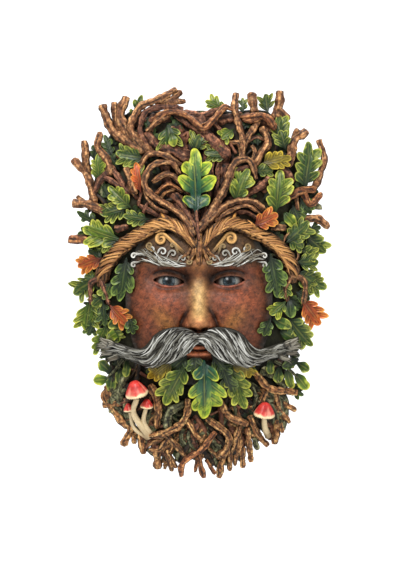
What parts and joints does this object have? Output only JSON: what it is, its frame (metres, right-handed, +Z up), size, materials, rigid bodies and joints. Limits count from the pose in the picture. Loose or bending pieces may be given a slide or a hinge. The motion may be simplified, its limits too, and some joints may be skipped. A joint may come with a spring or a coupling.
{
  "type": "wall mask",
  "caption": "Green man wall plaque: a bearded face in a frame of branches, oak leaves, roots and mushrooms, with a flat back to hang against a wall.",
  "frame": {"origin": "on the flat back, on the middle line, just above the seat of the hanging slot", "axes": "+Z up the wall, -Y out of the wall towards the viewer, +X to the viewer's right"},
  "size_m": [0.2272, 0.0739, 0.3397],
  "materials": {
    "painted_resin": "hand-painted cast resin: brown bark, green, yellow and orange leaves, grey moustache, with dark wash in the hollows"
  },
  "bodies": {
    "root": {"green_man_mask": "painted_resin"}
  },
  "joints": []
}
